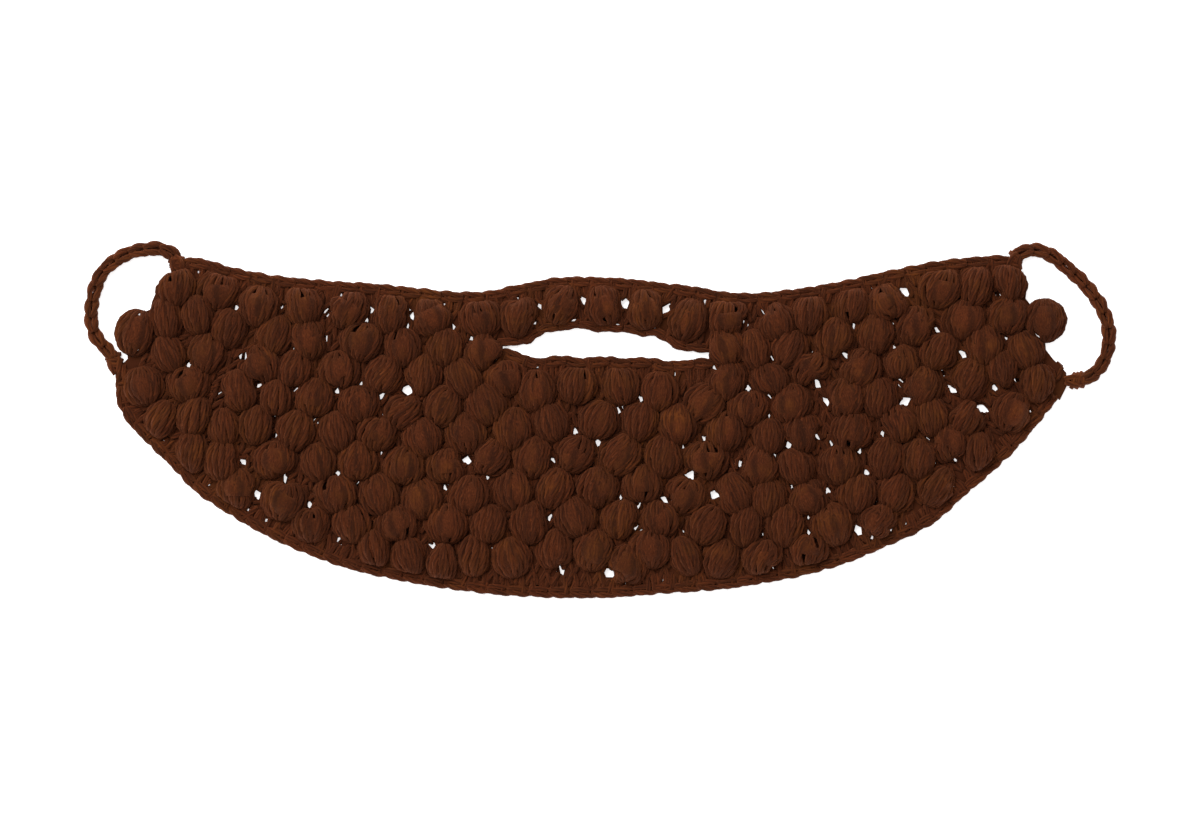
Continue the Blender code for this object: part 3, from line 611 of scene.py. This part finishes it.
def add_posts(yarn, line, count, reach, strand, height, per_stitch, gaps):
    """The short upright strands of an edging's stitches, from under its chain into the fabric."""
    pitch = lengths_along(line)[-1] / count
    posts = np.arange(count * per_stitch)[:, None]
    t = np.linspace(0, 1, 6)
    foot = (posts + 0.5 + rng.normal(0, 0.14, posts.shape)) * pitch / per_stitch
    slant = rng.normal(0, 0.16, posts.shape) * pitch
    sideways = -reach * (t - 0.12) * rng.uniform(0.9, 1.1, posts.shape)
    heights = height + 0.5 * strand * np.sin(math.pi * t) + rng.normal(0, 0.0002, posts.shape)
    points = beside_line(line, foot + slant * t, sideways, heights)
    ends = points[:, 0, :2] - points[:, -1, :2]
    across = unit(np.stack([-ends[:, 1], ends[:, 0]], axis=-1))
    middles = points[..., :2].mean(axis=1)
    for i, middle in enumerate(middles):
        side = lambda gap: across[i] * (1.0 if (middle - gap) @ across[i] > 0 else -1.0)
        points[i] = gaps.clear(points[i][None], 0.7 * strand, side)[0]
    yarn.add(points, strand * rng.uniform(0.9, 1.08, posts.shape) + 0 * t)


# Ground cloth


def ground(name, outline, holes):
    """The thin closed sheet that the stitches stand in, open through each gap, its flat size and area."""
    rings = [outline, *holes]
    corners = np.concatenate(rings)
    sides = []
    start = 0
    for ring in rings:
        sides += [(start + i, start + (i + 1) % len(ring)) for i in range(len(ring))]
        start += len(ring)
    low, high = outline.min(axis=0), outline.max(axis=0)
    spots = [np.arange(a, b, CLOTH_GRID) for a, b in zip(low, high)]
    grid = np.stack(np.meshgrid(*spots), axis=-1).reshape(-1, 2)
    free = depth_in(grid, outline) > 0.0015
    for ring in rings[1:]:
        free &= depth_in(grid, ring) < -0.0010
    grid = grid[free] + rng.uniform(-0.0004, 0.0004, grid[free].shape)
    points = [Vector(p) for p in np.concatenate([corners, grid])]
    found, _, faces, _, _, _ = delaunay_2d_cdt(points, sides, [], 0, 1e-7)
    found = np.array([tuple(p) for p in found])
    faces = np.array(faces)
    middles = found[faces].mean(axis=1)
    kept = depth_in(middles, outline) > 0
    for ring in rings[1:]:
        kept &= depth_in(middles, ring) < 0
    faces = faces[kept]
    sides = {(int(a), int(b)) for face in faces for a, b in zip(face, np.roll(face, -1))}
    rims = np.array([(a, b) for a, b in sorted(sides) if (b, a) not in sides])
    count = len(found)
    wave = 0.0002 * np.sin(found[:, 0] * 900) * np.sin(found[:, 1] * 1100)
    over = np.column_stack([found, CLOTH_HIGH + wave])
    under = np.column_stack([found, CLOTH_LOW + wave])
    walls = np.column_stack([rims[:, 1], rims[:, 0], rims[:, 0] + count, rims[:, 1] + count])
    loops = np.concatenate([faces.ravel(), (faces[:, ::-1] + count).ravel(), walls.ravel()])
    walls_start = 6 * len(faces)
    starts = np.concatenate([3 * np.arange(2 * len(faces)), walls_start + 4 * np.arange(len(walls))])
    mesh = new_mesh(name, np.concatenate([over, under]), loops, starts)
    made = shown(name, mesh, bobble_yarn)
    after = np.roll(outline, -1, axis=0)
    area = 0.5 * abs((outline[:, 0] * after[:, 1] - after[:, 0] * outline[:, 1]).sum())
    return made, tuple(float(side) for side in high - low), float(area)


def reaching(name, neighbours, reach, free):
    """A fabric node's outline, moved out by reach beside these neighbours and by free elsewhere."""
    ring = foot_rings(name)[0]
    beside = np.zeros(len(ring), bool)
    for other in neighbours:
        beside |= np.abs(depth_in(ring, foot_rings(other)[0])) < NEIGHBOUR_GAP
    heading = unit(np.roll(ring, -1, axis=0) - np.roll(ring, 1, axis=0))
    left = np.stack([-heading[:, 1], heading[:, 0]], axis=-1)
    way = -1 if depth_in(ring[:1] + 1e-4 * left[:1], ring)[0] > 0 else 1
    return ring + way * np.where(beside, reach, free)[:, None] * left


def specks(name, outward, share):
    """Small openings between an edging's stitches and the fabric, at a share of the stitches."""
    line, count, _ = edging_row(name, outward)
    pitch = lengths_along(line)[-1] / count
    found = []
    for stitch in range(count):
        if rng.random() < share:
            place = (stitch + rng.uniform(0.3, 0.7)) * pitch
            middle = beside_line(line, np.array([place]), -SPECK_OFFSET, 0.0)[0, :2]
            size = SPECK * rng.uniform(0.7, 1.25)
            found.append(diamond(middle, size, size * rng.uniform(1.0, 1.4), rng.uniform(0, math.pi)))
    return found


def mouth_specks(shift):
    """The openings round the mouth, at their places in the frame."""
    found = []
    for across, up, half_width, half_length, lean in MOUTH_SPECKS:
        middle = np.array([across * FACE_WIDTH, up * BEARD_HEIGHT]) + shift
        found.append(diamond(middle, half_width / 1000, half_length / 1000, math.radians(lean)))
    return found


def diamond(middle, half_width, half_length, turn):
    corners = np.array([(half_width, 0), (0, half_length), (-half_width, 0), (0, -half_length)])
    return middle + corners @ turning(turn).T


def jaw_height(outline, x):
    """The lowest crossing of the outline at each x."""
    side = np.roll(outline, -1, axis=0)
    found = []
    for value in x:
        spans = (outline[:, 0] > value) != (side[:, 0] > value)
        a, b = outline[spans], side[spans]
        share = (value - a[:, 0]) / (b[:, 0] - a[:, 0])
        found.append((a[:, 1] + (b[:, 1] - a[:, 1]) * share).min())
    return np.array(found)


def row_lines(outline, spacing):
    """Lines that follow the jaw edge, one spacing above the next, cut where they leave the outline."""
    low, high = outline.min(axis=0), outline.max(axis=0)
    x = np.arange(low[0] + 0.001, high[0] - 0.001, 0.0015)
    jaw = jaw_height(outline, x)
    for lift in np.arange(0.0012, high[1] - low[1], spacing):
        line = np.column_stack([x, jaw + lift])
        free = depth_in(line, outline) > 0.0009
        ends = np.flatnonzero(np.diff(np.concatenate([[0], free.astype(int), [0]])))
        for start, end in zip(ends[::2], ends[1::2]):
            if end - start > 5:
                yield line[start:end]


def stitch_clear(points, strand, gaps):
    """One stitch's strand, moved away from the gaps towards its own middle."""
    middle = points[:, :2].mean(axis=0)
    return gaps.clear(points[None], 0.6 * strand, lambda gap: middle - gap)[0]


def add_stitches(yarn, outline, gaps, strand, row, stitch, low):
    """The cloth's plain stitches: pairs of strands that lean together along each row."""
    t = np.linspace(0, 1, 5)
    for line in row_lines(outline, row):
        length = lengths_along(line)[-1]
        count = max(1, int(length / stitch))
        spare = (length - (count - 1) * stitch) / 2
        start = (np.arange(count)[:, None] + rng.normal(0, 0.05, (count, 1))) * stitch + spare
        for side in (1, -1):
            distances = start + side * stitch * (0.06 + 0.44 * t)
            sideways = row * (1.15 * t - 0.15) + rng.normal(0, 0.0001, start.shape)
            heights = low + strand + 0.35 * strand * (1 - np.sin(math.pi * t)) + 0 * start
            points = beside_line(line, distances, sideways, heights)
            points = points[depth_in(points[..., :2], outline).min(axis=1) > 0.5 * strand]
            if len(gaps.rings) and len(points):
                points = np.array([stitch_clear(one, strand, gaps) for one in points])
            yarn.add(points, strand * (0.75 + 0.25 * np.sin(math.pi * t)))


# Loose fibres


def add_fibres(fibres, yarn, per_metre, longest):
    """Fine hairs that stand off the strands of another piece."""
    for lines, radii in yarn.groups:
        length = np.linalg.norm(np.diff(lines, axis=1), axis=-1).sum()
        count = int(round(length * per_metre))
        strand = rng.integers(0, len(lines), count)
        place = rng.integers(1, lines.shape[1] - 1, count)
        root = lines[strand, place]
        along = unit(lines[strand, place + 1] - lines[strand, place - 1])
        out = rng.normal(0, 1, (count, 3))
        out[:, 2] = np.abs(out[:, 2]) * 0.8
        out = unit(out - (out * along).sum(-1, keepdims=True) * along)
        root = root + out * (0.85 * radii[strand, place])[:, None]
        reach = longest * rng.uniform(0.35, 1.0, (count, 1, 1)) ** 1.5
        drift = unit(along * rng.choice([-1, 1], (count, 1)) + 0.8 * rng.normal(0, 1, (count, 3)))
        curl = 0.5 * rng.normal(0, 1, (count, 3))
        t = np.linspace(0, 1, 4)[None, :, None]
        bend = 0.55 * t * out[:, None] + 0.8 * t * drift[:, None] + 0.45 * t**2 * curl[:, None]
        path = root[:, None] + reach * bend
        path[..., 2] = np.maximum(path[..., 2], 2 * FIBRE)
        fibres.add(path, FIBRE * (1.0 - 0.6 * t[..., 0]))


# Finishes


def noise(nodes, links, vector, scale, detail, roughness=0.6):
    made = nodes.new("ShaderNodeTexNoise")
    made.inputs["Scale"].default_value = scale
    made.inputs["Detail"].default_value = detail
    made.inputs["Roughness"].default_value = roughness
    links.new(vector, made.inputs["Vector"])
    return made.outputs["Fac"]


def scaled(nodes, links, vector, factors):
    made = nodes.new("ShaderNodeVectorMath")
    made.operation = "MULTIPLY"
    made.inputs[1].default_value = factors
    links.new(vector, made.inputs[0])
    return made.outputs["Vector"]


def ramp(nodes, links, value, stops):
    made = nodes.new("ShaderNodeValToRGB")
    while len(made.color_ramp.elements) < len(stops):
        made.color_ramp.elements.new(0.5)
    for element, (position, colour) in zip(made.color_ramp.elements, stops):
        element.position = position
        element.color = (*colour, 1.0)
    links.new(value, made.inputs["Fac"])
    return made.outputs["Color"]


def mixed(nodes, links, share, first, second, blend="MIX"):
    made = nodes.new("ShaderNodeMix")
    made.data_type = "RGBA"
    made.blend_type = blend
    if isinstance(share, float):
        made.inputs["Factor"].default_value = share
    else:
        links.new(share, made.inputs["Factor"])
    links.new(first, made.inputs["A"])
    links.new(second, made.inputs["B"])
    return made.outputs["Result"]


def worked_out(nodes, links, operation, *values):
    made = nodes.new("ShaderNodeMath")
    made.operation = operation
    for value, socket in zip(values, made.inputs):
        if isinstance(value, (int, float)):
            socket.default_value = value
        else:
            links.new(value, socket)
    return made.outputs["Value"]


def between_plies(nodes, links, fibre):
    """0 in the furrows between a strand's plies and 1 along their middles: where the painted furrow shade
    goes.
    """
    parts = nodes.new("ShaderNodeSeparateXYZ")
    links.new(fibre.outputs["Vector"], parts.inputs["Vector"])
    angle = worked_out(nodes, links, "ARCTAN2", parts.outputs["Y"], parts.outputs["X"])
    wave = worked_out(nodes, links, "COSINE", worked_out(nodes, links, "MULTIPLY", angle, PLIES))
    return worked_out(nodes, links, "MULTIPLY_ADD", wave, 0.5, 0.5)


def yarn_finish(name, shade, sheen):
    """Matt woolly yarn: fine fibres along each strand, strands of unlike browns, rusty patches, and painted
    shade in the furrows between the plies.
    """
    made = bpy.data.materials.new(name)
    made.use_nodes = True
    nodes, links = made.node_tree.nodes, made.node_tree.links
    shader = nodes["Principled BSDF"]
    shader.inputs["Roughness"].default_value = 0.92
    shader.inputs["Specular IOR Level"].default_value = 0.12
    shader.inputs["Sheen Weight"].default_value = sheen
    shader.inputs["Sheen Roughness"].default_value = 0.55
    shader.inputs["Sheen Tint"].default_value = (0.66, 0.20, 0.08, 1.0)
    fibre = nodes.new("ShaderNodeAttribute")
    fibre.attribute_name = "fibre"
    tint = nodes.new("ShaderNodeAttribute")
    tint.attribute_name = "tint"
    where = nodes.new("ShaderNodeTexCoord").outputs["Object"]
    fine = noise(nodes, links, scaled(nodes, links, fibre.outputs["Vector"], (5200, 5200, 420)), 1.0, 3)
    soft = noise(nodes, links, scaled(nodes, links, fibre.outputs["Vector"], (1500, 1500, 260)), 1.0, 2)
    patches = noise(nodes, links, where, 85.0, 3)
    plain = ramp(
        nodes,
        links,
        fine,
        [
            (0.30, [shade * c for c in (0.0275, 0.0057, 0.0013)]),
            (0.52, [shade * c for c in (0.0560, 0.0124, 0.0031)]),
            (0.72, [shade * c for c in (0.1220, 0.0295, 0.0083)]),
        ],
    )
    rusty = ramp(
        nodes,
        links,
        soft,
        [
            (0.35, [shade * c for c in (0.0430, 0.0105, 0.0024)]),
            (0.70, [shade * c for c in (0.1260, 0.0350, 0.0058)]),
        ],
    )
    share = nodes.new("ShaderNodeMapRange")
    share.inputs["From Min"].default_value = 0.48
    share.inputs["From Max"].default_value = 0.68
    share.inputs["To Max"].default_value = 0.75
    links.new(patches, share.inputs["Value"])
    colour = mixed(nodes, links, share.outputs["Result"], plain, rusty)
    strand = ramp(nodes, links, tint.outputs["Fac"], [(0.0, (0.80, 0.80, 0.80)), (1.0, (1.22, 1.18, 1.16))])
    colour = mixed(nodes, links, 1.0, colour, strand, "MULTIPLY")
    # Painted shade: the yarn darkened down to 0.55 in the furrows between its plies, where shade falls.
    painted_furrow_shade_stops = [(0.05, (0.55, 0.55, 0.55)), (0.45, (1.06, 1.06, 1.06))]
    painted_furrow_shade = ramp(nodes, links, between_plies(nodes, links, fibre), painted_furrow_shade_stops)
    colour = mixed(nodes, links, 1.0, colour, painted_furrow_shade, "MULTIPLY")
    links.new(colour, shader.inputs["Base Color"])
    bump = nodes.new("ShaderNodeBump")
    bump.inputs["Strength"].default_value = 0.75
    bump.inputs["Distance"].default_value = 0.00035
    links.new(fine, bump.inputs["Height"])
    links.new(bump.outputs["Normal"], shader.inputs["Normal"])
    return made


def floor_finish():
    """A plain white surface that is lit from within, as a light table is."""
    made = bpy.data.materials.new("floor_white")
    made.use_nodes = True
    shader = made.node_tree.nodes["Principled BSDF"]
    shader.inputs["Base Color"].default_value = (0.92, 0.92, 0.92, 1.0)
    shader.inputs["Roughness"].default_value = 0.9
    shader.inputs["Specular IOR Level"].default_value = 0.1
    shader.inputs["Emission Color"].default_value = (1.0, 1.0, 1.0, 1.0)
    shader.inputs["Emission Strength"].default_value = 0.72
    return made


# Camera, floor and light


def camera():
    data = bpy.data.cameras.new("camera")
    data.sensor_width = SENSOR_WIDTH
    data.lens = SENSOR_WIDTH * CAMERA_HEIGHT / (PHOTO_WIDTH_PX * METRES_PER_PX)
    made = bpy.data.objects.new("camera", data)
    made.location = (*VIEW_CENTRE, CAMERA_HEIGHT)
    bpy.context.scene.collection.objects.link(made)
    bpy.context.scene.camera = made


def surroundings():
    floor = bpy.data.meshes.new("floor")
    floor.from_pydata([(-3, -3, 0), (3, -3, 0), (3, 3, 0), (-3, 3, 0)], [], [(0, 1, 2, 3)])
    shown("floor", floor, floor_finish())
    world = bpy.data.worlds.new("studio")
    world.use_nodes = True
    world.node_tree.nodes["Background"].inputs["Color"].default_value = (1.0, 1.0, 1.0, 1.0)
    world.node_tree.nodes["Background"].inputs["Strength"].default_value = 0.55
    bpy.context.scene.world = world
    lamp = bpy.data.lights.new("softbox", "AREA")
    lamp.shape = "RECTANGLE"
    lamp.size = 0.9
    lamp.size_y = 0.6
    lamp.energy = 14.0
    made = bpy.data.objects.new("softbox", lamp)
    made.location = (-0.35, 0.45, 1.15)
    made.rotation_euler = Vector(made.location).to_track_quat("Z", "Y").to_euler()
    bpy.context.scene.collection.objects.link(made)
    bpy.context.scene.view_settings.view_transform = "Standard"


# Pieces


def face_shift():
    """The move from the shares' zero to the frame's, from where an ear loop's route and its solid lie."""
    line = smooth_line(np.array(EAR_LOOPS["ear_loop_left"]) * (FACE_WIDTH, BEARD_HEIGHT))
    low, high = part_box("ear_loop_left")
    return np.array([low[0] + LOOP_CORD / 2 - line[:, 0].min(), high[1] - LOOP_CORD / 2 - line[:, 1].max()])


def loop_route(name):
    """The ear loop's route, placed where the frame's loop lies."""
    line = smooth_line(np.array(EAR_LOOPS[name]) * (FACE_WIDTH, BEARD_HEIGHT))
    return line + face_shift()


def add_ties(yarn, line, start):
    """The strands that tie an end of the loop to the beard."""
    strands = np.arange(TIE_STRANDS)[:, None]
    t = np.linspace(-1, 1, 9)
    distances = start + (strands + 0.5 + 0.3 * t) * TIE_SPACING
    sideways = 1.05 * (LOOP_CORD / 2 - 0.4 * LOOP_YARN) * t + 0 * strands
    heights = LOOP_YARN + (LOOP_CORD - 1.9 * LOOP_YARN) * np.cos(0.5 * math.pi * t) + 0 * strands
    yarn.add(beside_line(line, distances, sideways, heights), 0.8 * LOOP_YARN)


def ear_loop(name, finish):
    line = loop_route(name)
    length = lengths_along(line)[-1]
    yarn = Yarn()
    first, last = on_line(line, [-LOOP_OVERREACH, length + LOOP_OVERREACH])[0]
    whole = np.vstack([first, line, last])
    add_chain(yarn, whole, round(length / CHAIN_PITCH), LOOP_CORD / 2, LOOP_YARN, 0.0, LOOP_CORD)
    for end in (0.0, length - TIE_STRANDS * TIE_SPACING):
        add_ties(yarn, line, end)
    chain = yarn.object(name + "_chain", finish)
    route = [(x, y, LOOP_CORD / 2) for x, y in line[::3]]
    far_end = (*line[-1], LOOP_CORD / 2)
    if route[-1] != far_end:
        route.append(far_end)
    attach(chain, "root")
    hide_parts(name)
    return yarn


def dressed(piece, slot, *nodes):
    """Gives a piece its body and hides the frame's nodes that it stands for."""
    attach(piece, "root")
    if nodes:
        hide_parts(*nodes)


def fabric(name, slot, bobbles, gaps, core, reach):
    """A fabric node's bobbles, its plain stitches on both sides and its cloth."""
    neighbours = FABRICS[name]
    outline = reaching(name, neighbours, reach, 0.0)
    for yarn_of_side, middle, half_across in bobbles:
        add_bobble(yarn_of_side, core, middle, half_across, BOBBLE_HALF_ALONG, BOBBLE_TOP, gaps, outline)
    front = Yarn(sides=6)
    add_stitches(front, outline, gaps, FRONT_YARN, FRONT_STITCH, FRONT_STITCH, FRONT_LOW)
    dressed(front.object(name + "_front_stitches", bobble_yarn), slot, name)
    back = Yarn(sides=6)
    add_stitches(back, foot_rings(name)[0], gaps, BACK_YARN, BACK_ROW, BACK_STITCH, 0.0)
    dressed(back.object(name + "_back_stitches", bobble_yarn), slot, name)
    cloth_outline = reaching(name, neighbours, CLOTH_REACH, -CLOTH_INSET)
    cloth, flat, area = ground(name + "_cloth", cloth_outline, gaps.rings)
    dressed(cloth, slot, name)


camera()
surroundings()
# The edging and cord yarns are the bobble yarn made 1.1 and 1.2 times lighter: painted light for the backlit
# glow of the rims, ear loops and loose fibres.
bobble_yarn = yarn_finish("bobble_yarn_wool", 1.0, 0.25)
edging_yarn = yarn_finish("edging_yarn_wool", 1.1, 0.30)
cord_yarn = yarn_finish("cord_yarn_wool", 1.2, 0.35)

loops = [ear_loop("ear_loop_left", cord_yarn), ear_loop("ear_loop_right", cord_yarn)]
core = Yarn(sides=8, valley=1.0, turn=10.0)

# Cheeks and chin
small = [ring for name, (outward, share) in SPECK_ROWS.items() for ring in specks(name, outward, share)]
small += mouth_specks(face_shift())
middles = bobble_middles("bobble_panel")
tops = np.concatenate([middles, bobble_middles("moustache")])[:, :2]
small = [ring for ring in small if np.linalg.norm(tops - ring.mean(axis=0), axis=1).min() > HIDDEN]
gaps = Gaps(foot_rings("bobble_panel")[1:] + small)
middles = middles[np.lexsort((middles[:, 1], middles[:, 0]))]
thirds = {"left": Yarn(), "middle": Yarn(), "right": Yarn()}
bobbles = []
for middle, half_across in zip(middles, half_widths(middles)):
    third = "left" if middle[0] < -THIRD else "right" if middle[0] > THIRD else "middle"
    bobbles.append((thirds[third], middle, half_across))
fabric("bobble_panel", "bobble_yarn", bobbles, gaps, core, BOBBLE_REACH)
for third, yarn in thirds.items():
    dressed(yarn.object("bobbles_" + third, bobble_yarn), "bobble_yarn", "bobble_panel")

# Moustache
band_gaps = Gaps(foot_rings("moustache")[1:] + small)
band_yarn = Yarn()
band = [(band_yarn, middle, MOUSTACHE_HALF_ACROSS) for middle in bobble_middles("moustache")]
fabric("moustache", "bobble_yarn", band, band_gaps, core, MOUSTACHE_REACH)
dressed(band_yarn.object("moustache_bobbles", bobble_yarn), "bobble_yarn", "moustache")

# Side bobbles
side_yarns = []
for name in ("side_bobble_left", "side_bobble_right"):
    low, high = (np.array(corner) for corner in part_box(name))
    yarn = Yarn()
    half = (high - low) / 2
    add_bobble(yarn, core, (low + high) / 2, half[0] + SIDE_OVERHANG, half[1] + SIDE_OVERHANG, high[2])
    dressed(yarn.object(name + "_yarn", bobble_yarn), "bobble_yarn", name)
    side_yarns.append(yarn)
dressed(core.object("bobble_cores", bobble_yarn), "bobble_yarn", "bobble_panel")

# Edges
everywhere = Gaps(gaps.rings + band_gaps.rings[: -len(small)])
edge_yarns = []
for name, outward, half_width, strand, reach, per_stitch in EDGES:
    line, count, high = edging_row(name, outward)
    yarn = Yarn()
    add_chain(yarn, line, count, half_width, strand, 0.0, high, everywhere)
    add_posts(yarn, line, count, reach, 0.9 * strand, POST_HEIGHT, per_stitch, everywhere)
    dressed(yarn.object(name + "_yarn", edging_yarn), "edging_yarn", name)
    edge_yarns.append(yarn)

# Loose fibres
fibres = Yarn(sides=3, valley=1.0, turn=10.0)
for yarn in [*thirds.values(), *side_yarns, band_yarn]:
    add_fibres(fibres, yarn, *BOBBLE_FIBRES)
for yarn in edge_yarns + loops:
    add_fibres(fibres, yarn, *EDGE_FIBRES)
# The loose fibres take the lightened cord yarn: painted light for fuzz lit from behind.
dressed(fibres.object("loose_fibres", cord_yarn), "cord_yarn")
